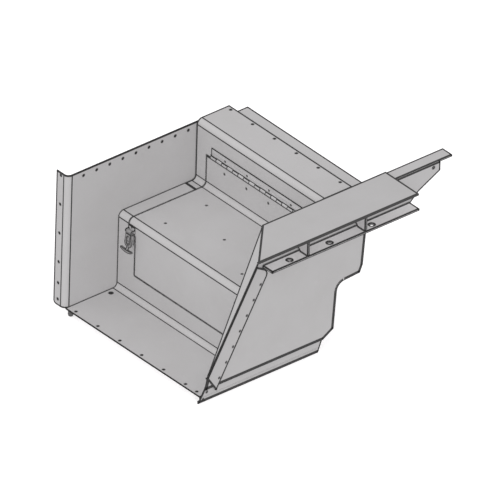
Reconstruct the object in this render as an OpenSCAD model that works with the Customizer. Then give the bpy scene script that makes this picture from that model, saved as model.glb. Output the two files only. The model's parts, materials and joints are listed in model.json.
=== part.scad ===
// Fabricated sheet-metal well: side walls, floor, stepped box with a hinged access cover, and a
// welded rail along one side. Millimetres. +X runs across the well, +Y to the back, +Z up.

/* [Well] */
// Clear width between the side walls
well_w = 625; // [600:1:650]
// Distance from the floor's front edge to the face of the riser
riser_y = 199; // [185:1:215]
// Height of the step top above the floor
step_z = 263.5; // [255:0.5:272]
// Distance from the floor's front edge to the face of the rear wall
rear_y = 496.5; // [490:0.5:505]
// Height of the rear flange above the floor
rim_z = 473; // [470:0.5:474]
// Height of the left side wall above the floor
wall_h = 465; // [460:1:468]

/* [Sheet and plate] */
// Thickness of the folded sheet
sheet = 3; // [2.5:0.5:3]
// Inside radius of every bend in the sheet
bend_r = 15; // [14:1:16]
// Thickness of the rail's plate
plate = 6.35; // [6:0.05:6.5]

/* [Side walls] */
// Width of the left wall's front flange, from the wall's inner face
flange_w = 51; // [48:1:56]
// Angle of the right wall's sloping front edge above the floor
slope_a = 60.5; // [60:0.5:61]
// Width of the riveted lap on the sloping edge
lap_w = 60; // [58:1:62]
// Width of the tapered return at its upper end
return_w = 52; // [50:1:52]
// Depth of the sill below the floor
sill_drop = 21; // [18:1:24]

/* [Access cover] */
// Left edge of the cover
cover_x0 = 49; // [47:1:52]
// Right edge of the cover
cover_x1 = 568; // [564:1:570]
// Height of the cover's lower front edge
cover_z0 = 77; // [70:1:84]
// Height of the cover's upper rear edge
cover_z1 = 370; // [369:1:370]
// Gap all round between the cover and its opening
cover_gap = 1.5; // [1:0.5:2]
// Width of the tabs at the cover's two front corners
tab_w = 30; // [28:1:32]
// Height of the lower edge of the tabs
tab_z = 220; // [219:1:221]

/* [Hinge] */
// Height of the hinge pin above the floor
pin_z = 376; // [376:0.1:376.5]
// Length of one hinge knuckle
knuckle_l = 25.4; // [25:0.1:25.4]
// Outer radius of the hinge knuckles
knuckle_r = 5; // [4.8:0.1:5]
// Radius of the hinge pin
pin_r = 1.5; // [1.5:0.1:2]

/* [Rail] */
// Distance from the floor's front edge to the back end of the rail
rail_y1 = 970; // [940:1:1000]
// Outer edge of the top plate
top_x1 = 731.5; // [720:0.5:745]
// Height of the lower flange's top face
ledge_z = 374.5; // [372:0.5:376]
// Width of the lower flange
ledge_w = 46; // [42:1:50]

/* [Hidden] */

$fn = 64;
steel = [0.69, 0.69, 0.69];
plated = [0.62, 0.62, 0.63];
rubber = [0.16, 0.16, 0.17];
felt = [0.3, 0.3, 0.31];
pitch = 101.6;
past = 1;
far = 2000;
bend_out = bend_r + sheet;
wall_x1 = well_w + sheet;

// Sloping front edge of the right wall: its foot and its directions
foot = [21.1, 62.5];
slope_dir = [cos(slope_a), sin(slope_a)];
slope_in = [sin(slope_a), -cos(slope_a)];
return_turn = 10.7;

// Heights and lengths along the rail
top_z = rim_z + 0.6;
web_x0 = well_w - plate;
web_z0 = 340;
rail_inner_x = 577;
rail_flange_x = 574.5;
rim_x1 = rail_flange_x - 1.5;
ledge_y = [231, 802];
plate_y = [120.8, 266.5, 746];
gusset_y = [372, 595];
bolt_y = [314.5, 470, 633.5];
bolt_r = 7.5;

// Cover, seam and opening
seam_y = 456.5;
opening_z1 = pin_z + knuckle_r + 1;
frame_z1 = 325;
notch_r = 12;
hole_r = 3.2;
flange_hole_x = -31;
flange_hole_z = [19, 76.2, 150.1, 251.7, 353.3, 454.9];
wall_hole_y = [for (k = [0:8]) 57.7 + k * pitch / 2];
wall_hole_z = 446;
floor_hole_x = concat([for (k = [0:5]) 33.6 + k * pitch], [594]);
floor_hole_y = 13;
rear_hole_x = [for (k = [0:5]) 22.6 + k * pitch];
rear_hole_y = 608.7;
drain_x = 18.7;
drain_y = 161;
drain_r = 6;
nut_r = 5.2;
nut_bore = 4;
nut_l = 6;
rivet_r = 2.4;
head_r = 3.7;

// Hinge
pin_y = rear_y - 1;
knuckles = 19;
hinge_l = knuckles * knuckle_l;
hinge_x0 = (wall_x1 - hinge_l) / 2;
leaf = 2;
leaf_z = [330, 408.5];
pin_gap = 0.05;
upper_rivet_x = [for (k = [0:4]) hinge_x0 + 63.4 + k * pitch];
lower_rivet_x = [for (k = [0:4]) hinge_x0 + 59.4 + k * pitch];
upper_rivet_z = 391.8;
lower_rivet_z = 344.5;

// Latch
latch_x = cover_x0 + tab_w / 2;
latch_y = riser_y - 10;
latch_z = 229;
bracket_w = 14.4;
strap_w = 11.5;
latch_pin_r = 2;
keeper_z = [182, 214];

// Lowest corner and centre of the whole object, which the origin stands under
low_y = -8;
origin = [(top_x1 - flange_w) / 2, (low_y + rail_y1) / 2, -sill_drop];

// ---- shared shapes ----

module along_x(x0, x1) translate([x0, 0, 0]) rotate([90, 0, 90]) linear_extrude(x1 - x0) children();

module along_y(y0, y1) translate([0, y1, 0]) rotate([90, 0, 0]) linear_extrude(y1 - y0) children();

module along_z(z0, z1) translate([0, 0, z0]) linear_extrude(z1 - z0) children();

// A hole or shank along one axis
module bar_x(x0, x1, y, z, r) translate([x0, y, z]) rotate([0, 90, 0]) cylinder(h = x1 - x0, r = r);

module bar_y(y0, y1, x, z, r) translate([x, y1, z]) rotate([90, 0, 0]) cylinder(h = y1 - y0, r = r);

module bar_z(z0, z1, x, y, r) translate([x, y, z0]) cylinder(h = z1 - z0, r = r);

// Quarter ring centred on c, lying towards the corner [sx, sy]
module quarter(c, r0, r1, sx, sy) translate(c) intersection() {
    difference() {
        circle(r1);
        circle(r0);
    }
    translate([sx > 0 ? 0 : -r1 - past, sy > 0 ? 0 : -r1 - past]) square(r1 + past);
}

// The well's folded surface in the YZ plane, between depths d0 and d1 behind its visible side
module floor_run(d0, d1, y0, y1) translate([y0, -d1]) square([y1 - y0, d1 - d0]);

module riser_run(d0, d1, z0, z1) translate([riser_y + d0, z0]) square([d1 - d0, z1 - z0]);

module step_run(d0, d1, y0, y1) translate([y0, step_z - d1]) square([y1 - y0, d1 - d0]);

module rear_run(d0, d1, z0, z1) translate([rear_y + d0, z0]) square([d1 - d0, z1 - z0]);

module rim_run(d0, d1, y0, y1) translate([y0, rim_z - d1]) square([y1 - y0, d1 - d0]);

module toe_bend(d0, d1) quarter([riser_y - bend_r, bend_r], bend_r + d0, bend_r + d1, 1, -1);

module nose_bend(d0, d1)
    quarter([riser_y + bend_out, step_z - bend_out], bend_out - d1, bend_out - d0, -1, 1);

module heel_bend(d0, d1)
    quarter([rear_y - bend_r, step_z + bend_r], bend_r + d0, bend_r + d1, 1, -1);

module rim_bend(d0, d1)
    quarter([rear_y + bend_out, rim_z - bend_out], bend_out - d1, bend_out - d0, -1, 1);

// Front drop, step and rear upright: what the access cover spans
module step_fold(d0, d1, z0, z1) {
    riser_run(d0, d1, z0, step_z - bend_out);
    nose_bend(d0, d1);
    step_run(d0, d1, riser_y + bend_out, rear_y - bend_r);
    heel_bend(d0, d1);
    rear_run(d0, d1, step_z + bend_r, z1);
}

// The two corners of the riser below the cover's tabs, moved out by g
module latch_corners(g) {
    w = tab_w - g;
    for (side = [0, 1]) {
        translate([side == 0 ? cover_x0 : cover_x1, 0, 0]) mirror([side, 0, 0])
            along_y(riser_y - 5, riser_y + 14) {
                translate([-60, -10]) square([60 + w - notch_r, tab_z - g + 10]);
                translate([-60, -10]) square([60 + w, tab_z - g - notch_r + 10]);
                translate([w - notch_r, tab_z - g - notch_r]) circle(notch_r);
            }
    }
}

// Outline of the cover grown by g, between depths d0 and d1
module cover_shape(g, d0, d1, z1) difference() {
    along_x(cover_x0 - g, cover_x1 + g) step_fold(d0, d1, cover_z0 - g, z1);
    latch_corners(g);
}

// Domed blind rivet with its head towards -X, -Y or +Z after turning
module rivet(grip, r, head) {
    cylinder(h = grip, r = r);
    translate([0, 0, grip]) intersection() {
        translate([0, 0, 2 - head * 1.3]) sphere(r = head * 1.3);
        cylinder(h = 3, r = head);
    }
}

module rivet_x(x_face, y, z, grip) translate([x_face - grip, y, z]) rotate([0, 90, 0])
    rivet(grip, rivet_r, head_r);

module rivet_y(y_face, x, z, grip, head) translate([x, y_face + grip, z]) rotate([90, 0, 0])
    rivet(grip, rivet_r, head);

// ---- fixed structure ----

module left_side_wall() color(steel) difference() {
    union() {
        along_z(-sheet, wall_h) {
            translate([-sheet, bend_out - 4.5]) square([sheet, rear_y + 23.5 - bend_out + 4.5]);
            quarter([-bend_out, bend_out - 4.5], bend_r, bend_out, 1, -1);
            translate([-flange_w, -4.5]) square([flange_w - bend_out, sheet]);
        }
        // Return along the foot of the wall, behind the riser
        translate([-sheet, riser_y + 16, -sheet]) cube([sheet + 25, rear_y - riser_y, sheet]);
    }
    for (z = flange_hole_z) bar_y(-6, 0, flange_hole_x, z, hole_r);
    for (y = wall_hole_y) bar_x(-sheet - past, past, y, wall_hole_z, hole_r);
    // Rounded lower corner of the flange
    translate([-flange_w, 0, -sheet]) along_y(-6, 0) difference() {
        translate([-past, -past]) square(notch_r + past);
        translate([notch_r, notch_r]) circle(notch_r);
    }
}

// Opening for the cover, with a slot above it for the knuckles of the hinge
module cover_opening() {
    cover_shape(cover_gap, -past, sheet + past, cover_z1 + cover_gap);
    translate([hinge_x0 - 1, rear_y - past, cover_z1])
        cube([hinge_l + 2, sheet + 2 * past, opening_z1 - cover_z1]);
}

module floor_riser_panel() color(steel) difference() {
    along_x(0, well_w) {
        floor_run(0, sheet, 0, riser_y - bend_r);
        toe_bend(0, sheet);
        riser_run(0, sheet, bend_r, step_z - bend_out);
        nose_bend(0, sheet);
        step_run(0, sheet, riser_y + bend_out, seam_y);
    }
    cover_opening();
    for (x = floor_hole_x) bar_z(-sheet - past, past, x, floor_hole_y, hole_r);
    bar_z(-sheet - past, past, drain_x, drain_y, drain_r);
    for (z = keeper_z) bar_y(riser_y - past, riser_y + 6, latch_x, latch_rivet_z(z), rivet_r);
    // Room for the sill's upright leg
    translate([well_w - sheet, -past, -sheet - past]) cube([sheet + past, rear_y, 45]);
}

// A keeper's rivets stand a little inside its ends
function latch_rivet_z(z) = z + (z < 200 ? 5 : -5);

module rear_panel() color(steel) difference() {
    union() {
        along_x(0, well_w) {
            step_run(0, sheet, seam_y + past, rear_y - bend_r);
            heel_bend(0, sheet);
            rear_run(0, sheet, step_z + bend_r, rim_z - bend_out);
            rim_bend(0, sheet);
            rim_run(0, sheet, rear_y + bend_out, 621.8);
        }
        // Side flange against the left wall
        translate([0, rear_y + 1, step_z + 20]) cube([sheet, 20.5, 170]);
    }
    cover_opening();
    translate([rim_x1, 0, 452]) cube([far, far, far]);
    translate([web_x0, 0, web_z0 - past]) cube([far, far, far]);
    for (x = rear_hole_x) bar_z(rim_z - 6, rim_z + past, x, rear_hole_y, hole_r);
    for (x = upper_rivet_x) bar_y(rear_y - past, rear_y + 6, x, upper_rivet_z, rivet_r);
}

module rear_lap_strip() color(steel) difference() {
    translate([36.3, 560, rim_z - 2 * sheet]) cube([rim_x1 - 36.3, 103.4, sheet]);
    for (x = rear_hole_x) bar_z(rim_z - 9, rim_z, x, rear_hole_y, hole_r);
}

// Point on the right wall, from its distances along the slope and in from it
function on_slope(s, n) = foot + s * slope_dir + n * slope_in;

module right_side_wall() {
    notch_c = [552.7, 168.7];
    inset = sheet + 1;
    top = ledge_z - plate;
    s_top = (top - on_slope(0, inset)[1]) / slope_dir[1];
    color(steel) difference() {
        along_x(well_w, wall_x1) difference() {
            polygon([
                [15.5, 19], on_slope(0, inset), on_slope(s_top, inset), [634, top], [630.5, 326],
                [622, 228], [611, 202.5], [551, 198.7], notch_c, [522.8, 170.9], [513.5, 43], [473, 19]
            ]);
            translate(notch_c) circle(30);
        }
        for (k = [0:6]) {
            p = on_slope(8.2 + k * 51.6, lap_w - 10.6);
            bar_x(well_w - past, wall_x1 + past, p[0], p[1], rivet_r);
        }
    }
}

module sill_angle() color(steel) difference() {
    union() {
        along_x(well_w - sheet, well_w) polygon([
            [low_y, -sill_drop], [15.5, 19], [28, 40], [470, 40], [473, 19], [457.5, -sill_drop]
        ]);
        translate([well_w - 25, 4, -2 * sheet]) cube([25 - sheet, 453, sheet]);
    }
    for (p = [[11.7, -12.3], [25.3, 9.2]]) bar_x(well_w - 6, well_w + past, p[0], p[1], 2.8);
}

module corner_post() color(steel) difference() {
    translate([0, foot[0], foot[1]]) rotate([slope_a - 90, 0, 0]) {
        // Lap on the wall's outer face
        along_x(wall_x1, wall_x1 + sheet) {
            polygon([[0, -2], [lap_w, -32], [lap_w, 346], [0, 346]]);
            translate([0, 340]) square([lap_w - 22, 28]);
            intersection() {
                translate([lap_w - 22, 346]) circle(22);
                square([lap_w, 368]);
            }
        }
        // Tapered return, turned a little past square
        translate([wall_x1, 0, 0]) rotate([0, 0, -return_turn])
            along_y(0, sheet) polygon([[sheet, -2], [sheet, 500], [-return_w * 1.03, 500], [0, 0]]);
    }
    translate([0, 0, top_z]) cube([far, far, far]);
    for (k = [0:6]) {
        p = on_slope(8.2 + k * 51.6, lap_w - 10.6);
        bar_x(wall_x1 - past, wall_x1 + 6, p[0], p[1], rivet_r);
    }
}

// ---- rail ----

module rail_web() {
    inset = sheet + 1;
    low = on_slope((web_z0 - foot[1]) / slope_dir[1], inset);
    high = on_slope((top_z - foot[1]) / slope_dir[1], inset);
    color(steel) difference() {
        along_x(web_x0, well_w) polygon([
            [low[0] + 3, web_z0], [high[0] + 3, top_z], [919, top_z], [919, 442], [836, 399],
            [ledge_y[1], ledge_z - plate], [636, ledge_z - plate], [620, web_z0]
        ]);
        bar_x(web_x0 - past, well_w + past, 892.5, 460.5, 4);
    }
}

module rail_top_flange() color(steel)
    translate([rail_flange_x, 275, top_z - plate])
        cube([web_x0 - rail_flange_x, rail_y1 - 275, plate]);

module rail_lower_flange() color(steel) difference() {
    translate([well_w, ledge_y[0], ledge_z - plate])
        cube([ledge_w, ledge_y[1] - ledge_y[0], plate]);
    for (y = bolt_y) bar_z(ledge_z - plate - past, ledge_z + past, well_w + 25.5, y, bolt_r);
}

module rail_top_plate() color(steel) along_z(top_z, top_z + plate)
    polygon([
        [rail_inner_x, plate_y[1]], [top_x1, plate_y[0]], [top_x1, plate_y[2]],
        [rail_inner_x, plate_y[2]]
    ]);

module rail_gussets() color(steel) for (y = gusset_y) along_y(y - plate / 2, y + plate / 2)
    difference() {
        translate([well_w, ledge_z]) square([ledge_w, top_z - ledge_z]);
        translate([well_w, ledge_z]) circle(8);
        translate([well_w, top_z]) circle(8);
    }

// ---- frame behind the cover's edge ----

// Spacer bar behind the panel and a ledge behind the cover, all round the opening
module opening_frame() {
    difference() {
        cover_shape(7, sheet + 4, sheet + 7, frame_z1);
        cover_shape(-17, sheet + 3, sheet + 8, frame_z1 + past);
    }
    difference() {
        cover_shape(7, sheet, sheet + 4, frame_z1);
        cover_shape(cover_gap, sheet - past, sheet + 5, frame_z1 + past);
    }
}

module frame_piece(x0, x1) color(steel) intersection() {
    opening_frame();
    translate([x0, 0, 0]) cube([x1 - x0, far, far]);
}

module frame_rail_left() frame_piece(0, cover_x0 + tab_w + 17);

module frame_rail_right() frame_piece(cover_x1 - tab_w - 17, far);

module frame_rail_bottom() frame_piece(cover_x0 + tab_w + 17, cover_x1 - tab_w - 17);

// Flat rubber seal on the ledge, just clear of the closed cover
module cover_seal() color(rubber) difference() {
    cover_shape(-3, sheet + 0.3, sheet + 4, frame_z1);
    cover_shape(-13, sheet, sheet + 5, frame_z1 + past);
}

// ---- hinge ----

module ring(bore) difference() {
    circle(knuckle_r);
    circle(bore);
}

// Knuckles from first in steps of two, with children() joining each to its leaf
module knuckle_row(first) {
    for (k = [first:2:knuckles - 1])
        along_x(hinge_x0 + k * knuckle_l + 0.2, hinge_x0 + (k + 1) * knuckle_l - 0.2) children();
}

module hinge_upper_leaf() color(plated) difference() {
    union() {
        along_x(hinge_x0, hinge_x0 + hinge_l)
            translate([rear_y - leaf, pin_z + knuckle_r + 0.4])
                square([leaf, leaf_z[1] - pin_z - knuckle_r - 0.4]);
        knuckle_row(0) difference() {
            union() {
                translate([pin_y, pin_z]) circle(knuckle_r);
                translate([rear_y - leaf, pin_z + 2]) square([leaf, knuckle_r]);
            }
            translate([pin_y, pin_z]) circle(pin_r + pin_gap);
        }
    }
    for (x = upper_rivet_x) bar_y(rear_y - 4, rear_y + past, x, upper_rivet_z, rivet_r);
}

module hinge_lower_leaf() color(plated) difference() {
    union() {
        along_x(hinge_x0, hinge_x0 + hinge_l)
            translate([rear_y + sheet, leaf_z[0]]) square([leaf, pin_z - 3.9 - leaf_z[0]]);
        knuckle_row(1) difference() {
            union() {
                translate([pin_y, pin_z]) circle(knuckle_r);
                translate([rear_y + sheet, pin_z - 6]) square([leaf, 6]);
            }
            translate([pin_y, pin_z]) circle(pin_r + pin_gap);
        }
    }
    for (x = lower_rivet_x) bar_y(rear_y, rear_y + 8, x, lower_rivet_z, rivet_r);
}

module hinge_pin() color(plated) {
    bar_x(hinge_x0 - 0.1, hinge_x0 + hinge_l + 0.1, pin_y, pin_z, pin_r);
    bar_x(hinge_x0 - 0.8, hinge_x0 - 0.1, pin_y, pin_z, pin_r + 0.6);
    bar_x(hinge_x0 + hinge_l + 0.1, hinge_x0 + hinge_l + 0.8, pin_y, pin_z, pin_r + 0.6);
}

module hinge_frame_rivets() color(plated)
    for (x = upper_rivet_x) rivet_y(rear_y - leaf, x, upper_rivet_z, leaf + sheet, 3.6);

module hinge_cover_rivets() color(plated)
    for (x = lower_rivet_x) rivet_y(rear_y, x, lower_rivet_z, leaf + sheet, 3.6);

module corner_post_rivets() color(plated) for (k = [0:6]) {
    p = on_slope(8.2 + k * 51.6, lap_w - 10.6);
    rivet_x(wall_x1 + sheet, p[0], p[1], 2 * sheet);
}

// ---- insert nuts behind the open holes ----

// Round insert nut, from the back of the sheet at z = 0 downwards
module insert_nut() rotate([180, 0, 0]) linear_extrude(nut_l) difference() {
    circle(nut_r);
    circle(nut_bore);
}

module wall_insert_nuts() color(plated)
    for (y = wall_hole_y) translate([-sheet, y, wall_hole_z]) rotate([0, 90, 0]) insert_nut();

module flange_insert_nuts() color(plated)
    for (z = flange_hole_z)
        translate([flange_hole_x, sheet - 4.5, z]) rotate([90, 0, 0]) insert_nut();

module floor_insert_nuts() color(plated)
    for (x = floor_hole_x) translate([x, floor_hole_y, -sheet]) insert_nut();

module rear_insert_nuts() color(plated)
    for (x = rear_hole_x)
        translate([x, rear_hole_y, rim_z - (x < 30 ? 1 : 2) * sheet]) insert_nut();

// Short tube under the drain hole, wider than the hole so that it drips clear of the sheet
module drain_spigot() color(plated) difference() {
    bar_z(-sheet - 9, -sheet, drain_x, drain_y, drain_r + 2.2);
    bar_z(-sheet - 9 - past, past, drain_x, drain_y, drain_r + 0.8);
}

// ---- access cover ----

module access_cover() color(steel) difference() {
    cover_shape(0, 0, sheet, cover_z1);
    for (p = pad_points()) bar_z(step_z - 6, step_z + past, p[0], p[1], rivet_r);
    for (x = lower_rivet_x) bar_y(rear_y - past, rear_y + 6, x, lower_rivet_z, rivet_r);
    bar_y(riser_y - past, riser_y + 6, latch_x, latch_z + 11, rivet_r);
}

// Four corners and the middle of the pad's fastening
function pad_points() = [[135.7, 267], [491.3, 267], [135.7, 426.5], [491.3, 426.5], [313.5, 347]];

module cover_backing_pad() color(felt) difference() {
    translate([88, 240, step_z - sheet - 10]) cube([442, 216, 10]);
    for (p = pad_points()) bar_z(step_z - 20, step_z, p[0], p[1], rivet_r);
}

module pad_fasteners() color(plated) for (p = pad_points()) {
    translate([p[0], p[1], step_z - sheet - 10 - 1.5]) rivet(sheet + 10 + 1.5, rivet_r, 3.6);
    bar_z(step_z - sheet - 13, step_z - sheet - 11.5, p[0], p[1], 3.6);
}

module pad_washers() color(plated) for (p = pad_points()) difference() {
    bar_z(step_z - sheet - 11.5, step_z - sheet - 10, p[0], p[1], 9);
    bar_z(step_z - sheet - 12.5, step_z - sheet - 9, p[0], p[1], rivet_r);
}

// ---- latch ----

module latch_bracket() color(plated) difference() {
    union() {
        translate([latch_x - bracket_w, riser_y - 2, 222]) cube([2 * bracket_w, 2, 21]);
        for (side = [-1, 1]) along_x(latch_x + side * 13.15 - 1.25, latch_x + side * 13.15 + 1.25) {
            translate([latch_y, latch_z - 6]) square([riser_y - latch_y - past, 12]);
            translate([latch_y, latch_z]) circle(6);
        }
    }
    bar_x(latch_x - 20, latch_x + 20, latch_y, latch_z, latch_pin_r);
    bar_y(riser_y - 4, riser_y + past, latch_x, latch_z + 11, rivet_r);
}

module latch_pin() color(plated) {
    end = bracket_w + 1;
    bar_x(latch_x - end, latch_x + end, latch_y, latch_z, latch_pin_r);
    bar_x(latch_x + end, latch_x + end + 1.2, latch_y, latch_z, latch_pin_r + 1);
    bar_x(latch_x - end - 1.2, latch_x - end, latch_y, latch_z, latch_pin_r + 1);
}

module bracket_rivet() color(plated) rivet_y(riser_y - 2, latch_x, latch_z + 11, 2 + sheet, 3);

// Rubber strap: eye, oval body with a slot, neck and cross handle
module latch_strap() color(rubber) difference() {
    union() {
        along_x(latch_x - strap_w, latch_x + strap_w) translate([latch_y, latch_z]) circle(5.6);
        along_y(latch_y - 6, latch_y) {
            translate([latch_x - strap_w, 190]) square([2 * strap_w, latch_z - 190]);
            translate([latch_x, 190]) circle(15.5);
        }
        along_x(latch_x - 5.5, latch_x + 5.5) polygon([
            [latch_y - 6, 182], [latch_y, 182], [latch_y, 175.5], [latch_y - 8, 162],
            [latch_y - 13.5, 166.5]
        ]);
        bar_x(latch_x - 21, latch_x + 21, latch_y - 11, 165, 4.5);
        for (side = [-1, 1]) translate([latch_x + side * 21, latch_y - 11, 165]) sphere(4.5);
    }
    bar_x(latch_x - 20, latch_x + 20, latch_y, latch_z, latch_pin_r + pin_gap);
    along_y(latch_y - 10, latch_y + 10) {
        translate([latch_x - 6, 184.5]) square([12, 22]);
        translate([latch_x, 184.5]) circle(6);
        translate([latch_x, 206.5]) circle(6);
    }
}

// Keeper with a hook that stands through the strap's slot
module latch_keeper() color(plated) difference() {
    union() {
        translate([latch_x - 11, riser_y - 2, keeper_z[0]]) cube([22, 2, keeper_z[1] - keeper_z[0]]);
        translate([latch_x - 4, riser_y - 15.5, 192]) cube([8, 14, 4]);
        translate([latch_x - 4, riser_y - 15.5, 189.5]) cube([8, 2, 3]);
    }
    for (z = keeper_z) bar_y(riser_y - 4, riser_y + past, latch_x, latch_rivet_z(z), rivet_r);
}

module keeper_rivets() color(plated)
    for (z = keeper_z) rivet_y(riser_y - 2, latch_x, latch_rivet_z(z), 2 + sheet, 3.6);

// ---- feet ----

module bumper_feet() color(rubber) for (p = [[15, 8.5], [15, 482]])
    translate([p[0], p[1], -sill_drop]) {
        cylinder(h = 4, r1 = 7, r2 = 8.5);
        translate([0, 0, 4]) cylinder(h = sill_drop - sheet - 4, r = 8.5);
    }

module placed() translate(-origin) children();

placed() left_side_wall();
placed() floor_riser_panel();
placed() rear_panel();
placed() rear_lap_strip();
placed() right_side_wall();
placed() sill_angle();
placed() corner_post();
placed() rail_web();
placed() rail_top_flange();
placed() rail_lower_flange();
placed() rail_top_plate();
placed() rail_gussets();
placed() frame_rail_left();
placed() frame_rail_right();
placed() frame_rail_bottom();
placed() cover_seal();
placed() hinge_upper_leaf();
placed() hinge_pin();
placed() hinge_frame_rivets();
placed() corner_post_rivets();
placed() wall_insert_nuts();
placed() flange_insert_nuts();
placed() floor_insert_nuts();
placed() rear_insert_nuts();
placed() drain_spigot();
placed() latch_keeper();
placed() keeper_rivets();
placed() bumper_feet();
placed() access_cover();
placed() hinge_lower_leaf();
placed() hinge_cover_rivets();
placed() cover_backing_pad();
placed() pad_fasteners();
placed() pad_washers();
placed() latch_bracket();
placed() latch_pin();
placed() bracket_rivet();
placed() latch_strap();
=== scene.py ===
"""Looks for the sheet-metal step well: materials, weld beads, drawn lines and a moulded latch strap."""
import json
from math import cos, pi, radians, sin

import bmesh
import bpy
from mathutils import Matrix, Vector

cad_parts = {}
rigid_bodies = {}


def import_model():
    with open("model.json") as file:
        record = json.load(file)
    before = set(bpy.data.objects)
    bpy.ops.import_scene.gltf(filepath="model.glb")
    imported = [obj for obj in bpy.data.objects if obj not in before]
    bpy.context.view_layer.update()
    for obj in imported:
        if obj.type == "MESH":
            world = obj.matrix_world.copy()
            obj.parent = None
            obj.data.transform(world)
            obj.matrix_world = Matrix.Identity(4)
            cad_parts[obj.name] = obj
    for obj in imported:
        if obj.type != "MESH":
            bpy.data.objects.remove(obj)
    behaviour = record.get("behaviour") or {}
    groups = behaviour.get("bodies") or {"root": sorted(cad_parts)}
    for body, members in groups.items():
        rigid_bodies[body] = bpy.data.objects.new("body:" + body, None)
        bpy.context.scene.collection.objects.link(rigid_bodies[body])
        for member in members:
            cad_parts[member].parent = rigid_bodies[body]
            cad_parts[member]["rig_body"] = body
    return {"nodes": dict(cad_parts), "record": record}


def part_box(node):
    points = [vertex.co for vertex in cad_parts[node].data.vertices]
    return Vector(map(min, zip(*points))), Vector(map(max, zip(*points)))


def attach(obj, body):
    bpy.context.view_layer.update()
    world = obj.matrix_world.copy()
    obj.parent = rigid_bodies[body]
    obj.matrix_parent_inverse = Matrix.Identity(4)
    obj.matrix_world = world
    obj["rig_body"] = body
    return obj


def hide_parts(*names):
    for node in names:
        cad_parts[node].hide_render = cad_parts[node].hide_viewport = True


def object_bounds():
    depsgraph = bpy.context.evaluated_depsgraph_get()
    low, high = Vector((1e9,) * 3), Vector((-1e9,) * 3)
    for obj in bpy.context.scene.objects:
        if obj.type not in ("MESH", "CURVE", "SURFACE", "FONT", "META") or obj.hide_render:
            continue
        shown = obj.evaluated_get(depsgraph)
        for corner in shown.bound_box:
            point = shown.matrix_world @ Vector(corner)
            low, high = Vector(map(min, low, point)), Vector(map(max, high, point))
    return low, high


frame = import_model()
cad_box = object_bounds()
scene = bpy.context.scene

# ---- places ----
# In millimetres of the well: x from the left wall, y from the floor's front edge, z from the floor.
MM = 0.001
SHEET, PLATE = 3.0, 6.35
BEND, BEND_OUT = 15.0, 18.0  # inner and outer radius of the sheet's bends
GAP = 1.5  # beside the access cover
FLANGE_Y = -4.5  # front face of the left wall's flange
TOP_PLATE_LEFT_Y = 266.5  # where the rail's top plate begins at its left side
panel_low, panel_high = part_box("floor_riser_panel")
cover_low, cover_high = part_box("access_cover")
WELL = panel_low + Vector((0, 0, SHEET * MM))


def at(x, y, z):
    """A point of the well in the shared frame."""
    return WELL + Vector((x, y, z)) * MM


def well_mm(point):
    """A point of the shared frame, in the well's millimetres."""
    return (point - WELL) / MM


WIDTH = well_mm(panel_high).x
COVER = (well_mm(cover_low).x, well_mm(cover_high).x)
RISER, STEP = well_mm(cover_low).y, well_mm(panel_high).z
REAR, RIM = well_mm(cover_high).y - SHEET, well_mm(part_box("rear_panel")[1]).z

# ---- camera ----
CAMERA_RIGHT = Vector((0.64136, 0.76692, 0.02204))
CAMERA_UP = Vector((-0.42453, 0.33081, 0.84282))
CAMERA_AIM = (278.7, 478.5, 158.0)
CAMERA_SPAN, CAMERA_DISTANCE, CAMERA_REACH = 1.4875, 4, 20


def add_camera():
    """Parallel view from the front right, rolled a little as the object leans in the picture."""
    back = CAMERA_RIGHT.cross(CAMERA_UP)
    data = bpy.data.cameras.new("camera")
    data.type = "ORTHO"
    data.ortho_scale = CAMERA_SPAN
    data.clip_end = CAMERA_REACH
    camera = bpy.data.objects.new("camera", data)
    turn = Matrix((CAMERA_RIGHT, CAMERA_UP, back)).transposed().to_4x4()
    camera.matrix_world = Matrix.Translation(at(*CAMERA_AIM) + back * CAMERA_DISTANCE) @ turn
    scene.collection.objects.link(camera)
    scene.camera = camera


add_camera()

# ---- materials ----
WHITE = (1.0, 1.0, 1.0, 1.0)
MIX_FIRST, MIX_SECOND, MIX_RESULT = 6, 7, 2  # the colour sockets of a mix node
BEVEL_SAMPLES = 12
EDGE_START, EDGE_FULL = 0.9995, 0.985  # cosine between rounded and flat normal at a line's limits
BORDER_WIDTH, BORDER_FADE = 6.0, 1.1  # a border has faded out at this many times its width
BORDER_TURN = (0.5, 0.6)  # a face that looks along a plane's normal, by this cosine, gets no border from it
PAINT_EDGE, METAL_EDGE, RUBBER_EDGE = 6.0, 3.0, 2.5
SHEET_PEEL, PLATE_PEEL = 700.0, 420.0  # scale of the paint's orange peel
RIM_BEND = (0.012, 0.04)  # pointiness away from even, where a dark rim starts and is full


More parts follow.
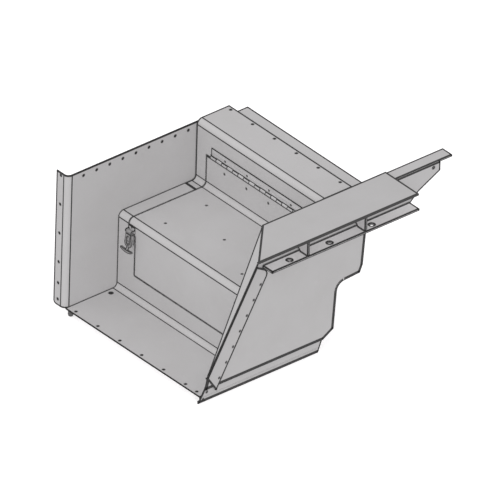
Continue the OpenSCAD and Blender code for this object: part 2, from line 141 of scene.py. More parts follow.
class Shader:
    """A node material with a Principled shader, and short calls that add and wire its nodes."""

    def __init__(self, name, roughness=0.5, metallic=0.0, specular=0.4):
        self.material = bpy.data.materials.new(name)
        self.material.use_nodes = True
        self.tree = self.material.node_tree
        self.out = self.tree.nodes["Principled BSDF"]
        self.out.inputs["Roughness"].default_value = roughness
        self.out.inputs["Metallic"].default_value = metallic
        self.out.inputs["Specular IOR Level"].default_value = specular
        self.place = self.node("ShaderNodeTexCoord").outputs["Object"]

    def node(self, kind, settings=None, **inputs):
        made = self.tree.nodes.new(kind)
        for key, value in (settings or {}).items():
            setattr(made, key, value)
        for key, value in inputs.items():
            self.feed(made.inputs[key], value)
        return made

    def feed(self, socket, value):
        if isinstance(value, bpy.types.NodeSocket):
            self.tree.links.new(value, socket)
        else:
            socket.default_value = value

    def noise(self, scale, detail, stretch=None):
        where = self.place
        if stretch:
            where = self.node("ShaderNodeMapping", Vector=where, Scale=stretch).outputs["Vector"]
        return self.node("ShaderNodeTexNoise", Vector=where, Scale=scale, Detail=detail).outputs["Fac"]

    def ramp(self, value, low, high, least=0.0, most=1.0):
        """value, stretched from low..high to least..most and cut off there."""
        made = self.node("ShaderNodeMapRange", Value=value)
        for slot, number in zip(("From Min", "From Max", "To Min", "To Max"), (low, high, least, most)):
            made.inputs[slot].default_value = number
        return made.outputs["Result"]

    def patches(self, scale, detail, low, high, least=0.0, most=1.0, stretch=None):
        """Noise cut to a range: patches of least and of most with soft limits."""
        return self.ramp(self.noise(scale, detail, stretch), low, high, least, most)

    def mix(self, amount, first, second):
        made = self.node("ShaderNodeMix", {"data_type": "RGBA"}, Factor=amount)
        self.feed(made.inputs[MIX_FIRST], first)
        self.feed(made.inputs[MIX_SECOND], second)
        return made.outputs[MIX_RESULT]

    def pair(self, kind, operation, first, second, result):
        """A node that works on two values."""
        made = self.node(kind, {"operation": operation})
        self.feed(made.inputs[0], first)
        self.feed(made.inputs[1], second)
        return made.outputs[result]

    def math(self, operation, first, second):
        return self.pair("ShaderNodeMath", operation, first, second, 0)

    def dot(self, first, second):
        return self.pair("ShaderNodeVectorMath", "DOT_PRODUCT", first, second, "Value")

    def edges(self, radius):
        """1 on a band along every sharp edge of the piece, 0 away from it."""
        rounded = self.node("ShaderNodeBevel", {"samples": BEVEL_SAMPLES}, Radius=radius * MM)
        flat = self.node("ShaderNodeNewGeometry")
        return self.ramp(self.dot(rounded.outputs["Normal"], flat.outputs["Normal"]), EDGE_START, EDGE_FULL)

    def border(self, planes, width):
        """1 on faces within width of the planes that bound the piece, given as normal and distance."""
        facing = self.node("ShaderNodeTexCoord").outputs["Normal"]
        total = 0.0
        for normal, distance in planes:
            place = self.dot(self.place, normal)
            close = self.ramp(place, distance - width * BORDER_FADE, distance - width)
            turned = self.math("ABSOLUTE", self.dot(facing, normal), 0.0)
            aside = self.ramp(turned, *BORDER_TURN, least=1.0, most=0.0)
            total = self.math("MAXIMUM", total, self.math("MULTIPLY", close, aside))
        return total

    def bump(self, height, distance, strength):
        made = self.node("ShaderNodeBump", Height=height, Distance=distance, Strength=strength)
        self.feed(self.out.inputs["Normal"], made.outputs["Normal"])

    def colour(self, value):
        self.feed(self.out.inputs["Base Color"], value)

    def rough(self, value):
        self.feed(self.out.inputs["Roughness"], value)


def grey(value, warmth=0.0):
    """A neutral grey with a trace of red."""
    return (value * (1.008 + warmth), value * 0.99, value * (1 - warmth), 1.0)


def painted(name, tone, peel=SHEET_PEEL, planes=()):
    """Satin paint on steel: slow drift in tone, orange peel, scuffs, and dark lines along edges."""
    s = Shader(name, specular=0.3)
    drift = s.patches(scale=7, detail=5, low=0.3, high=0.7)
    body = s.mix(drift, grey(tone * 0.97, 0.004), grey(tone * 1.03))
    dust = s.patches(scale=38, detail=8, low=0.62, high=0.8, most=0.35)
    body = s.mix(dust, body, grey(tone * 1.12, 0.01))
    scuff = s.patches(scale=60, detail=6, low=0.68, high=0.78, most=0.3, stretch=(1, 9, 1))
    body = s.mix(scuff, body, grey(tone * 0.72))
    uneven = s.patches(scale=90, detail=4, low=0.25, high=0.6, least=0.7)
    body = s.mix(s.math("MULTIPLY", s.edges(PAINT_EDGE), uneven), body, grey(0.055))
    if planes:
        body = s.mix(s.border(planes, BORDER_WIDTH * MM), body, grey(0.04))
    s.colour(body)
    s.rough(s.patches(scale=25, detail=6, low=0.3, high=0.7, least=0.46, most=0.62))
    s.bump(s.noise(scale=peel, detail=2), distance=0.0003, strength=0.25)
    return s.material


def plated(name, tone):
    """Dull zinc plate: fine drawing marks along x, darker towards the edges."""
    s = Shader(name, metallic=0.25)
    grain = s.noise(scale=260, detail=5, stretch=(0.06, 1, 1))
    body = s.mix(s.ramp(grain, 0.35, 0.65), grey(tone * 0.86), grey(tone * 1.1))
    bloom = s.patches(scale=120, detail=5, low=0.55, high=0.75, most=0.5)
    body = s.mix(bloom, body, grey(tone * 1.25, -0.01))
    s.colour(s.mix(s.edges(METAL_EDGE), body, grey(0.05)))
    s.rough(s.ramp(grain, 0.3, 0.7, least=0.34, most=0.55))
    s.bump(grain, distance=0.0002, strength=0.4)
    return s.material


def rivet_metal(name, tone):
    """Dull domed heads with a dark rim."""
    s = Shader(name, metallic=0.35)
    blotch = s.patches(scale=420, detail=4, low=0.35, high=0.65)
    body = s.mix(blotch, grey(tone * 0.8), grey(tone * 1.2))
    s.colour(s.mix(s.edges(METAL_EDGE), body, grey(0.03)))
    s.rough(s.patches(scale=900, detail=3, low=0.3, high=0.7, least=0.4, most=0.65))
    s.bump(s.noise(scale=1500, detail=2), distance=0.0001, strength=0.4)
    return s.material


def rubber(name, tone, lined=False):
    """Moulded rubber: matt, fine grain, paler in patches, dark along a lined shape's rims."""
    s = Shader(name, specular=0.28)
    handled = s.patches(scale=140, detail=5, low=0.45, high=0.7, most=0.6)
    body = s.mix(handled, grey(tone), grey(tone * 1.7, 0.01))
    if lined:
        bend = s.node("ShaderNodeNewGeometry").outputs["Pointiness"]
        turned = s.math("ABSOLUTE", s.math("SUBTRACT", bend, 0.5), 0.0)
        s.colour(s.mix(s.ramp(turned, *RIM_BEND), body, grey(0.03)))
    else:
        s.colour(s.mix(s.edges(RUBBER_EDGE), body, grey(tone * 0.45)))
    s.rough(s.patches(scale=300, detail=5, low=0.3, high=0.7, least=0.6, most=0.82))
    s.bump(s.noise(scale=2200, detail=3), distance=0.00012, strength=0.5)
    return s.material


def felted(name, tone):
    """Dense felt: short matted fibres."""
    s = Shader(name, roughness=0.95, specular=0.1)
    s.out.inputs["Sheen Weight"].default_value = 0.25
    fibre = s.noise(scale=1300, detail=6, stretch=(1, 0.25, 1))
    body = s.mix(s.ramp(fibre, 0.3, 0.7), grey(tone * 0.7), grey(tone * 1.3))
    worn = s.patches(scale=45, detail=4, low=0.5, high=0.75, most=0.5)
    s.colour(s.mix(worn, body, grey(tone * 1.5, 0.02)))
    s.bump(fibre, distance=0.0008, strength=0.8)
    return s.material


def dark_line(name, tone):
    """Dull and dark with a fine grain, for the weld beads, for the drawn lines and for the painted drop
    shadow along some of them.
    """
    s = Shader(name, specular=0.25)
    blotch = s.patches(scale=150, detail=5, low=0.35, high=0.65)
    s.colour(s.mix(blotch, grey(tone * 0.75), grey(tone * 1.25)))
    s.rough(s.patches(scale=500, detail=4, low=0.3, high=0.7, least=0.5, most=0.75))
    s.bump(s.noise(scale=900, detail=3), distance=0.0002, strength=0.5)
    return s.material


def floor_paper(name, tone, glow):
    """Pale paper that gives off a little light of its own, so that it stays nearly white."""
    s = Shader(name, roughness=0.9, specular=0.1)
    s.colour(s.mix(s.noise(scale=3, detail=3), grey(tone), grey(tone * 0.995)))
    s.out.inputs["Emission Color"].default_value = WHITE
    s.out.inputs["Emission Strength"].default_value = glow
    return s.material


PAINT_SHEET = painted("paint_sheet", 0.47)
PAINT_PLATE = painted("paint_plate", 0.47, PLATE_PEEL)
# Paler paint for the rail's lower flange: painted light that offsets the shade it lies in under the top
# plate.
PAINT_LEDGE_LIT = painted("paint_ledge_painted_light", 0.62, PLATE_PEEL)
PLATED = plated("zinc_plate", 0.52)
RIVETS = rivet_metal("rivet_heads", 0.13)
RUBBER = rubber("black_rubber", 0.09)
STRAP_RUBBER = rubber("strap_rubber", 0.22, lined=True)
RIM_RUBBER = rubber("rim_rubber", 0.025)
FELT = felted("felt", 0.1)
WELD_METAL = dark_line("seam_metal", 0.075)
# Drawn lines, some widened by a painted drop shadow.
INK = dark_line("ink_lines_and_painted_shadow", 0.04)
# Near-black plate on the insert nuts and the drain spigot: painted shade, so that the holes they sit in
# stay dark under the shadowless light.
HOLE_SHADE_STEEL = plated("hole_shade_steel", 0.03)
LOOK = {
    "painted_sheet": PAINT_SHEET, "painted_plate": PAINT_PLATE, "plated_steel": PLATED,
    "rivets": RIVETS, "black_rubber": RUBBER, "felt": FELT,
}


def top_plate_planes():
    """The planes that bound the rail's top plate, its front edge slanting back to the left."""
    low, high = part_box("rail_top_plate")
    left_front = at(well_mm(low).x, TOP_PLATE_LEFT_Y, 0)
    slant = Vector((high.x, low.y, 0)) - Vector((low.x, left_front.y, 0))
    outward = Vector((slant.y, -slant.x, 0)).normalized()
    return [
        (Vector((1, 0, 0)), high.x), (Vector((-1, 0, 0)), -low.x), (Vector((0, 1, 0)), high.y),
        (Vector((0, 0, 1)), high.z), (Vector((0, 0, -1)), -low.z),
        (outward, outward.dot(Vector((high.x, low.y, 0)))),
    ]


# The top plate's face is the limit of the CAD box, where no raised line fits, so its lines are painted on.
OWN_LOOK = {
    "rail_top_plate": painted("paint_top_plate", 0.45, PLATE_PEEL, top_plate_planes()),
    # painted light: paler paint against the shade under the top plate
    "rail_lower_flange": PAINT_LEDGE_LIT,
    # painted shade: the nuts and the spigot near black, as holes in shade look
    "wall_insert_nuts": HOLE_SHADE_STEEL, "flange_insert_nuts": HOLE_SHADE_STEEL,
    "floor_insert_nuts": HOLE_SHADE_STEEL, "rear_insert_nuts": HOLE_SHADE_STEEL, "drain_spigot": HOLE_SHADE_STEEL,
}
SMOOTH_BELOW = 20  # degrees
FACE_WEIGHT = 100


def dress_cad():
    """Gives every CAD node its own or its slot's material, and smooth shading across its bends only."""
    for part in frame["record"]["subparts"]:
        node = frame["nodes"][part["node"]]
        node.data.materials.clear()
        node.data.materials.append(OWN_LOOK.get(part["node"], LOOK[part["material_slot"]]))
        for face in node.data.polygons:
            face.material_index = 0
            face.use_smooth = True
        node.data.set_sharp_from_angle(angle=radians(SMOOTH_BELOW))
        lean = node.modifiers.new("even_normals", "WEIGHTED_NORMAL")
        lean.keep_sharp = True
        lean.weight = FACE_WEIGHT


dress_cad()


# ---- meshes ----
def finish_mesh(name, mesh, material, body, smooth=True):
    """Makes a piece of a mesh and riding on a body."""
    bmesh.ops.recalc_face_normals(mesh, faces=mesh.faces)
    data = bpy.data.meshes.new(name)
    mesh.to_mesh(data)
    mesh.free()
    piece = bpy.data.objects.new(name, data)
    scene.collection.objects.link(piece)
    data.materials.append(material)
    for face in data.polygons:
        face.use_smooth = smooth
    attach(piece, body)
    return piece


def add_solid(mesh, rings):
    """A closed solid through rings of points: sides between them, and a face at both ends."""
    loops = [[mesh.verts.new(point) for point in ring] for ring in rings]
    for first, second in zip(loops, loops[1:]):
        for k in range(len(first)):
            mesh.faces.new((first[k - 1], first[k], second[k], second[k - 1]))
    mesh.faces.new(loops[0])
    mesh.faces.new(list(reversed(loops[-1])))


def add_tube(mesh, points, radii, sides):
    """A closed tube through points, with a radius in millimetres at each."""
    rings = []
    side = None
    last = len(points) - 1
    turns = [2 * pi * k / sides for k in range(sides)]
    for i, point in enumerate(points):
        ahead = (points[min(i + 1, last)] - points[max(i - 1, 0)]).normalized()
        side = ahead.orthogonal() if side is None else side - ahead * side.dot(ahead)
        side.normalize()
        across = ahead.cross(side)
        rings.append([point + (side * cos(a) + across * sin(a)) * radii[i] * MM for a in turns])
    add_solid(mesh, rings)


def arc(u, v, radius, start, end, steps=10):
    """Points of an arc in a plane, with angles in degrees from the plane's first axis."""
    turns = [radians(start + (end - start) * k / steps) for k in range(steps + 1)]
    return [(u + radius * cos(a), v + radius * sin(a)) for a in turns]


# ---- bend marks ----
LINE_TOP, LINE_FOOT = 0.14, -0.05  # height above the face, and depth into it
MARK = 5.0
MARK_SECTION = ((-0.5, LINE_FOOT), (-0.32, LINE_TOP), (0.32, LINE_TOP), (0.5, LINE_FOOT))
INSET = 0.5
RIGHT_STOP, RIM_STOP = 6, 54  # how far before the floor panel's right side they stop, below and at the rim
FACES = {"up": Vector((0, 0, 1)), "front": Vector((0, -1, 0)), "right": Vector((1, 0, 0))}
BEND_LINES = [
    (RISER - BEND, 0.0, "up", "floor"), (RISER, BEND, "front", "floor"),
    (RISER, STEP - BEND_OUT, "front", "step"), (RISER + BEND_OUT, STEP, "up", "step"),
    (REAR - BEND, STEP, "up", "step"), (REAR, STEP + BEND, "front", "step"),
    (REAR, RIM - BEND_OUT, "front", "rim"), (REAR + BEND_OUT, RIM, "up", "rim"),
]
SPANS = {
    "floor": [(INSET, WIDTH - RIGHT_STOP)],
    "step": [(INSET, COVER[0] - GAP - INSET), (COVER[1] + GAP + INSET, WIDTH - RIGHT_STOP)],
    "rim": [(INSET, WIDTH - RIM_STOP)],
}


def add_mark(mesh, start, end, face):
    """One bend mark: a low closed ridge with chamfered sides, lying on the sheet."""
    normal = FACES[face]
    across = (end - start).normalized().cross(normal)
    add_solid(mesh, [
        [point + across * u * MARK * MM + normal * v * MM for u, v in MARK_SECTION]
        for point in (start, end)
    ])


def bend_marks():
    """Dark lines along both sides of every bend, as the picture draws them."""
    fixed, moving = bmesh.new(), bmesh.new()
    for y, z, face, region in BEND_LINES:
        if region == "step":
            add_mark(moving, at(COVER[0] + INSET, y, z), at(COVER[1] - INSET, y, z), face)
        for x0, x1 in SPANS[region]:
            add_mark(fixed, at(x0, y, z), at(x1, y, z), face)
    top = well_mm(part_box("left_side_wall")[1]).z - 1
    bend_y = BEND_OUT + FLANGE_Y
    add_mark(fixed, at(0, bend_y, 0), at(0, bend_y, top), "right")
    add_mark(fixed, at(-BEND_OUT, FLANGE_Y, 0), at(-BEND_OUT, FLANGE_Y, top), "front")
    finish_mesh("bend_marks_well", fixed, INK, "well", False)
    finish_mesh("bend_marks_cover", moving, INK, "cover", False)


bend_marks()

# ---- weld beads ----
BEAD_SIDES, BEAD_STEP = 8, 1.1
BEAD_END = 0.55
RIPPLE, RIPPLE_PITCH = 0.13, 3.2
# Radius of each bead, and how far its axis lies from the panel's side or the corner that it follows.
WALL_BEAD, LEFT_OFF, RIGHT_OFF = 1.7, 0.4, 4.4
RAIL_BEAD, RAIL_OFF = 2.6, 0.6
GUSSET_BEAD, GUSSET_OFF = 2.0, 0.5
TOP_BEAD, TOP_OFF, TOP_REAR_OFF = 1.6, 0.2, 0.4
# How far from an end, an edge or a level each bead starts and stops.
WALL_START, WALL_BELOW_RIM, WALL_ABOVE_STEP = 6, 14, 75
RAIL_END = 2
UPRIGHT_END, GUSSET_INNER, GUSSET_OUTER = 8, 9, 1
TOP_START, TOP_END = 150, 1


def finer(points, step):
    """The same route with a point about every step millimetres."""
    route = [points[0]]
    for start, end in zip(points, points[1:]):
        count = max(1, round((end - start).length / MM / step))
        route += [start.lerp(end, k / count) for k in range(1, count + 1)]
    return route


def bead_radii(route, radius):
    """A radius for each point of a bead, rippled as a weld's is, and small at both ends."""
    radii, run = [], 0.0
    for i, point in enumerate(route):
        if i:
            run += (point - route[i - 1]).length / MM
        radii.append(radius * (1 + RIPPLE * sin(2 * pi * run / RIPPLE_PITCH)))
    radii[0] *= BEAD_END
    radii[-1] *= BEAD_END
    return radii


def beads(name, routes, radius):
    mesh = bmesh.new()
    for route in routes:
        points = finer([at(*place) for place in route], BEAD_STEP)
        add_tube(mesh, points, bead_radii(points, radius), BEAD_SIDES)
    finish_mesh(name, mesh, WELD_METAL, "well")


def folded_route(x, z_end):
    """The well's folded surface at one side wall, from the floor's edge to z_end on the rear wall."""
    profile = [(WALL_START, 0)] + arc(RISER - BEND, BEND, BEND, -90, 0)
    profile += arc(RISER + BEND_OUT, STEP - BEND_OUT, BEND_OUT, 180, 90)
    profile += arc(REAR - BEND, STEP + BEND, BEND, -90, 0) + [(REAR, z_end)]
    return [(x, y, z) for y, z in profile]


def rail_welds():
    """Beads along the rail, round both gussets and at the top plate."""
    ledge_low, ledge_high = (well_mm(p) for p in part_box("rail_lower_flange"))
    plate_low, plate_high = (well_mm(p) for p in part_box("rail_top_plate"))
    flange_low, flange_high = (well_mm(p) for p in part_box("rail_top_flange"))
    gusset_low, gusset_high = (well_mm(p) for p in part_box("rail_gussets"))
    x, y = ledge_low.x + RAIL_OFF, ledge_low.y + RAIL_END
    low_z, top_z = ledge_high.z + RAIL_OFF, plate_low.z - RAIL_OFF
    beads("weld_rail", [
        [(x, y, low_z), (x, ledge_high.y - RAIL_END, low_z)],
        [(x, y, top_z), (x, plate_high.y - RAIL_END, top_z)],
    ], RAIL_BEAD)

    thickness = flange_high.z - flange_low.z
    upright = ledge_low.x + GUSSET_OFF
    inner, outer = ledge_low.x + GUSSET_INNER, gusset_high.x - GUSSET_OUTER
    foot, head = gusset_low.z, gusset_high.z
    front_faces = (gusset_low.y, gusset_high.y - thickness)
    routes = []
    for face in front_faces:
        for y in (face - GUSSET_OFF, face + thickness + GUSSET_OFF):
            routes.append([(upright, y, foot + UPRIGHT_END), (upright, y, head - UPRIGHT_END)])
            for z in (foot + GUSSET_OFF, head - GUSSET_OFF):
                routes.append([(inner, y, z), (outer, y, z)])
    beads("weld_gussets", routes, GUSSET_BEAD)

    x, z = plate_low.x + TOP_OFF, plate_low.z + TOP_OFF
    rear_y, rear_z = plate_high.y + TOP_OFF, plate_low.z + TOP_REAR_OFF
    beads("weld_top_plate", [
        [(x, plate_low.y + TOP_START, z), (x, plate_high.y - TOP_END, z)],
        [(plate_low.x + TOP_END, rear_y, rear_z), (flange_high.x, rear_y, rear_z)],
    ], TOP_BEAD)


LEFT_ROUTE = folded_route(LEFT_OFF, RIM - WALL_BELOW_RIM)
RIGHT_ROUTE = folded_route(WIDTH - RIGHT_OFF, STEP + WALL_ABOVE_STEP)
beads("weld_left_wall", [LEFT_ROUTE], WALL_BEAD)
beads("weld_right_wall", [RIGHT_ROUTE], WALL_BEAD)
rail_welds()

# ---- edge lines ----
# The widest lines, on the right wall and along the sill's bottom edge, are drawn outline widened by a
# painted drop shadow.
EDGE_LINE, OUTLINE_AND_SHADOW_LINE, SEAM_LINE, PLATE_LINE, RING_LINE = 5.4, 10.0, 1.2, 2.4, 1.4
LINE_WIDTHS = {
    "right_side_wall": OUTLINE_AND_SHADOW_LINE, "access_cover": SEAM_LINE, "floor_riser_panel": 3.2,
    "hinge_upper_leaf": 2.8, "hinge_lower_leaf": 2.8, "latch_bracket": 2.0,
}
SHARP = 25  # degrees
SHORTEST = 0.35  # shorter edges get no line
RING_EDGE = 0.9  # shorter edges go round something small, and get a narrow line
THINNEST = 0.05  # faces less deep get no line
SAME_DEPTH, SAME_HEIGHT = 0.2, 0.5
INSIDE = 0.02
SEAM_REACH = 3.0
WELDED = 1e-6  # metres within which vertices are one


def by_cover(point):
    """True beside the cover, where the seam is a dark line already."""
    reach = SEAM_REACH * MM
    return all(cover_low[k] - reach < point[k] < cover_high[k] + reach for k in range(3))


def line_width(node, length, depth, start, end):
    """How wide a line is on a face depth mm deep, beside an edge length mm long."""
    if length < RING_EDGE:
        return RING_LINE
    if abs(depth - SHEET) < SAME_DEPTH:
        return SHEET
    if abs(depth - PLATE) < SAME_DEPTH:
        return PLATE_LINE
    if node == "access_cover" and min(start.z, end.z) > cover_high.z - SAME_HEIGHT * MM:
        return EDGE_LINE
    # The sill's bottom edge: drawn outline widened by a painted drop shadow.
    if node == "sill_angle" and max(start.z, end.z) < SAME_HEIGHT * MM:
        return OUTLINE_AND_SHADOW_LINE
    return LINE_WIDTHS.get(node, EDGE_LINE)


def in_box(point):
    """The nearest point just inside the CAD box."""
    low, high = ([side[k] for k in range(3)] for side in cad_box)
    gap = INSIDE * MM
    return Vector([min(max(point[k], low[k] + gap), high[k] - gap) for k in range(3)])


def add_strip(mesh, start, end, inward, normal, width):
    """A closed flat strip from an edge inwards, on a face."""
    section = [(-LINE_TOP, LINE_FOOT), (-LINE_TOP, LINE_TOP), (width, LINE_TOP), (width, LINE_FOOT)]
    along = (end - start).normalized() * LINE_TOP * MM
    add_solid(mesh, [
        [in_box(point + (inward * u + normal * v) * MM) for u, v in section]
        for point in (start - along, end + along)
    ])


def line_edges(mesh, node, body):
    """Adds a line on both faces beside every sharp edge of a CAD node."""
    shape = bmesh.new()
    shape.from_mesh(frame["nodes"][node].data)
    bmesh.ops.remove_doubles(shape, verts=shape.verts, dist=WELDED)
    shape.normal_update()
    for edge in shape.edges:
        length = edge.calc_length() / MM
        if length < SHORTEST or len(edge.link_faces) != 2 or edge.calc_face_angle(0.0) < radians(SHARP):
            continue
        start, end = (v.co for v in edge.verts)
        if body == "well" and by_cover(start) and by_cover(end) and not node.startswith("hinge"):
            continue
        for loop in edge.link_loops:
            normal = loop.face.normal
            inward = normal.cross(loop.link_loop_next.vert.co - loop.vert.co).normalized()
            depth = inward.dot(loop.link_loop_prev.vert.co - loop.vert.co) / MM
            if depth >= THINNEST:
                add_strip(mesh, start, end, inward, normal, line_width(node, length, depth, start, end))
    shape.free()


def edge_lines(body, slot, only=""):
    """Dark lines along the edges of one body's nodes of one finish, as the picture draws them."""
    mesh = bmesh.new()
    for part in frame["record"]["subparts"]:
        node = part["node"]
        if part["material_slot"] != slot or frame["nodes"][node]["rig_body"] != body:
            continue
        if node.startswith(only):
            line_edges(mesh, node, body)
    finish_mesh(f"edge_lines_{body}_{slot}", mesh, INK, body, False)


edge_lines("well", "painted_sheet")
edge_lines("well", "painted_plate")
edge_lines("cover", "painted_sheet")
edge_lines("well", "plated_steel", "hinge_upper")
edge_lines("cover", "plated_steel", ("hinge_lower", "latch_bracket"))

# ---- latch strap ----
# Depths are in front of the pin's axis, heights above the floor, widths to each side of the middle.
PIN_IN = 5.6  # from the strap's rear and top to the pin's axis
EYE_HALF, EYE_ENDS, EYE_RADII, EYE_SIDES = 11.4, (-1, -0.9, 0.9, 1), [4.6, 5.5, 5.5, 4.6], 28
OVAL_LOW_Z, OVAL_TOP_Z, SLOT_TOP_Z, OVAL_STEPS = 190, 213, 207, 14
OVAL_HALF, OVAL_TAPER, SLOT_HALF, OVAL_DEPTHS = 15.2, 0.76, 6.2, (5.6, 0.3)
TAB_Z, TAB_LOW_HALF, TAB_TOP_HALF, TAB_DEPTHS = 211, 11.2, 10.6, (5.2, 0.6)
RIB_X, RIB_DEPTH, RIB_SIDES = 10.8, 5.4, 10
RIB_Z, RIB_RADII = (184, 192, 200, 208, 216, 222), [0.8, 1.2, 1.3, 1.3, 1.2, 0.7]
NECK = ((2.8, 181), (3.2, 176), (4.6, 172), (7.4, 168.5), (11, 165))
NECK_RADII, NECK_SIDES = [5.2, 4.6, 4.2, 4.0, 3.8], 18
HANDLE_HALF, HANDLE_DEPTHS, HANDLE_STEPS = 25, (13.4, 8.6), 12
HANDLE_UNDER, HANDLE_OVER = (161, 6.0), (169.5, 1.5)  # height at the middle, and rise to the ends
VOXEL, SOFTEN, SOFTEN_ROUNDS = 0.55, 0.6, 3
RIM_R, FINE_RIM_R, RIM_SIDES = 1.15, 1.1, 8
RIM_OVAL_HALF, RIM_OVAL_TOP_HALF, RIM_SLOT_HALF = 15.0, 11.4, 6.4
RIM_DEPTH, RIM_HANDLE_DEPTHS = 5.4, (13.2, 8.8)
NECK_RIM_X, NECK_RIM = 4.6, ((5.4, 178), (7.0, 173), (9.4, 170), (12.6, 168))
TAB_RIM_X, TAB_RIM_DEPTH, TAB_RIM_Z = 10.9, 5.0, (211, 216, 221, 226)
CROSS_RIM_X, CROSS_RIM_Z = (-11, -4, 4, 11), 221.5


def add_slab(mesh, outline, y0, y1):
    """A closed slab whose outline lies in the XZ plane."""
    add_solid(mesh, [[at(x, y, z) for x, z in outline] for y in (y0, y1)])


def oval(cx, low_half, top_half, top_z):
    """An outline of two half circles, the lower one round the oval's lower centre."""
    lower = arc(cx, OVAL_LOW_Z, low_half, 180, 360, OVAL_STEPS)
    return lower + arc(cx, top_z, top_half, 0, 180, OVAL_STEPS)


def strap_ring(mesh, cx, y0, y1):
    """The strap's oval body with its slot, as one closed ring."""
    outer = oval(cx, OVAL_HALF, OVAL_HALF * OVAL_TAPER, OVAL_TOP_Z)
    inner = oval(cx, SLOT_HALF, SLOT_HALF, SLOT_TOP_Z)
    rows = []
    for y in (y0, y1):
        rows.append([[mesh.verts.new(at(x, y, z)) for x, z in loop] for loop in (outer, inner)])
    (front_out, front_in), (back_out, back_in) = rows
    for k in range(len(outer)):
        mesh.faces.new((front_out[k - 1], front_out[k], front_in[k], front_in[k - 1]))
        mesh.faces.new((back_out[k], back_out[k - 1], back_in[k - 1], back_in[k]))
        mesh.faces.new((front_out[k], front_out[k - 1], back_out[k - 1], back_out[k]))
        mesh.faces.new((front_in[k - 1], front_in[k], back_in[k], back_in[k - 1]))


def handle(cx):
    """The T handle's outline from the front: a bar whose ends curve up."""
    bar = [k / HANDLE_STEPS for k in range(-HANDLE_STEPS, HANDLE_STEPS + 1)]
    outline = []
    for (middle, rise), route in ((HANDLE_UNDER, bar), (HANDLE_OVER, bar[::-1])):
        outline += [(cx + t * HANDLE_HALF, middle + rise * t * t) for t in route]
    return outline


def latch_strap(cx, pin_y, pin_z):
    """Moulded rubber strap: eye round the pin, oval body with a slot, curved neck and T handle."""
    mesh = bmesh.new()
    add_tube(mesh, [at(cx + k * EYE_HALF, pin_y, pin_z) for k in EYE_ENDS], EYE_RADII, EYE_SIDES)
    strap_ring(mesh, cx, *(pin_y - depth for depth in OVAL_DEPTHS))
    tab = [(cx - TAB_LOW_HALF, TAB_Z), (cx + TAB_LOW_HALF, TAB_Z)]
    tab += [(cx + TAB_TOP_HALF, pin_z), (cx - TAB_TOP_HALF, pin_z)]
    add_slab(mesh, tab, *(pin_y - depth for depth in TAB_DEPTHS))
    for side in (-1, 1):
        rib = [at(cx + side * RIB_X, pin_y - RIB_DEPTH, z) for z in RIB_Z]
        add_tube(mesh, rib, RIB_RADII, RIB_SIDES)
    add_tube(mesh, [at(cx, pin_y - depth, z) for depth, z in NECK], NECK_RADII, NECK_SIDES)
    add_slab(mesh, handle(cx), *(pin_y - depth for depth in HANDLE_DEPTHS))
    piece = finish_mesh("rubber_strap", mesh, STRAP_RUBBER, "latch")
    weld = piece.modifiers.new("moulded", "REMESH")
    weld.mode = "VOXEL"
    weld.voxel_size = VOXEL * MM
    weld.use_smooth_shade = True
    soft = piece.modifiers.new("rounded", "SMOOTH")
    soft.factor = SOFTEN
    soft.iterations = SOFTEN_ROUNDS
    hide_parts("latch_strap")


def strap_rims(cx, pin_y):
    """Dark rims along the strap's outlines, as the picture draws them."""
    mesh = bmesh.new()

    def add_rim(points, radius=FINE_RIM_R):
        add_tube(mesh, points, [radius] * len(points), RIM_SIDES)

    body = oval(cx, RIM_OVAL_HALF, RIM_OVAL_TOP_HALF, OVAL_TOP_Z)
    slot = oval(cx, RIM_SLOT_HALF, RIM_SLOT_HALF, SLOT_TOP_Z)
    rounds = [(body, RIM_DEPTH), (slot, RIM_DEPTH)]
    rounds += [(handle(cx), depth) for depth in RIM_HANDLE_DEPTHS]
    for outline, depth in rounds:
        add_rim([at(x, pin_y - depth, z) for x, z in outline + outline[:2]], RIM_R)
    for side in (-1, 1):
        add_rim([at(cx + side * NECK_RIM_X, pin_y - depth, z) for depth, z in NECK_RIM])
        add_rim([at(cx + side * TAB_RIM_X, pin_y - TAB_RIM_DEPTH, z) for z in TAB_RIM_Z])
    add_rim([at(cx + x, pin_y - RIM_DEPTH, CROSS_RIM_Z) for x in CROSS_RIM_X])
    finish_mesh("strap_rims", mesh, RIM_RUBBER, "latch")


def add_latch():
    low, high = (well_mm(p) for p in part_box("latch_strap"))
    cx = (low.x + high.x) / 2
    pin_y, pin_z = high.y - PIN_IN, high.z - PIN_IN
    latch_strap(cx, pin_y, pin_z)
    strap_rims(cx, pin_y)


add_latch()

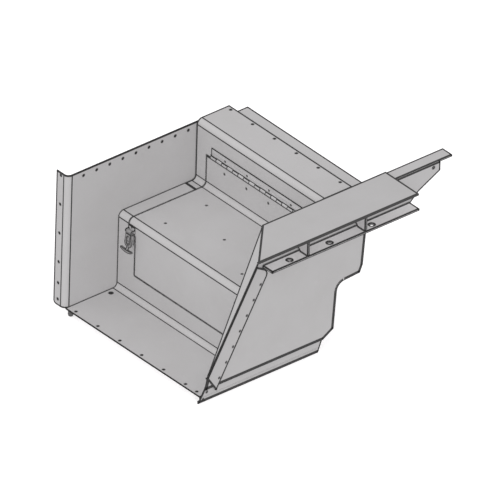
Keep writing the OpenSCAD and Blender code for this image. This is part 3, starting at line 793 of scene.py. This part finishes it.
# ---- floor and light ----
FLOOR_CELLS, FLOOR_SIZE, FLOOR_DROP = 8, 12, 0.0005
FLOOR_TONE, FLOOR_GLOW = 0.93, 0.3
WORLD_LIGHT = 0.6
SUN_TOWARD, SUN_POWER, SUN_SPREAD = (-1, 1, -1), 2.0, 30
KEY_PLACE, KEY_AIM, KEY_SIZE, KEY_POWER = (-1.6, -1.2, 3.4), (0, 0, 0.2), 2.2, 12


def add_floor():
    """A pale floor that throws no light back onto the object."""
    mesh = bmesh.new()
    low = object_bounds()[0]
    bmesh.ops.create_grid(mesh, x_segments=FLOOR_CELLS, y_segments=FLOOR_CELLS, size=FLOOR_SIZE)
    for v in mesh.verts:
        v.co.z = low[2] - FLOOR_DROP
    data = bpy.data.meshes.new("floor")
    mesh.to_mesh(data)
    mesh.free()
    floor = bpy.data.objects.new("floor", data)
    data.materials.append(floor_paper("pale_paper", FLOOR_TONE, FLOOR_GLOW))
    scene.collection.objects.link(floor)
    floor.visible_diffuse = False


def add_world():
    world = bpy.data.worlds.new("studio")
    world.use_nodes = True
    world.node_tree.nodes["Background"].inputs["Color"].default_value = WHITE
    world.node_tree.nodes["Background"].inputs["Strength"].default_value = WORLD_LIGHT
    scene.world = world
    scene.view_settings.view_transform = "Standard"


def add_lamp(name, data, toward):
    lamp = bpy.data.objects.new(name, data)
    lamp.rotation_euler = Vector(toward).to_track_quat("-Z", "Y").to_euler()
    scene.collection.objects.link(lamp)
    return lamp


def add_sun():
    """An even light without shadows, so that faces inside the well are as light as those outside."""
    data = bpy.data.lights.new("even", "SUN")
    data.energy = SUN_POWER
    data.angle = radians(SUN_SPREAD)
    data.use_shadow = False
    add_lamp("even", data, SUN_TOWARD)


def add_key():
    """A soft square light that points at the well."""
    data = bpy.data.lights.new("key", "AREA")
    data.size = KEY_SIZE
    data.energy = KEY_POWER
    add_lamp("key", data, Vector(KEY_AIM) - Vector(KEY_PLACE)).location = KEY_PLACE


add_floor()
add_world()
add_sun()
add_key()
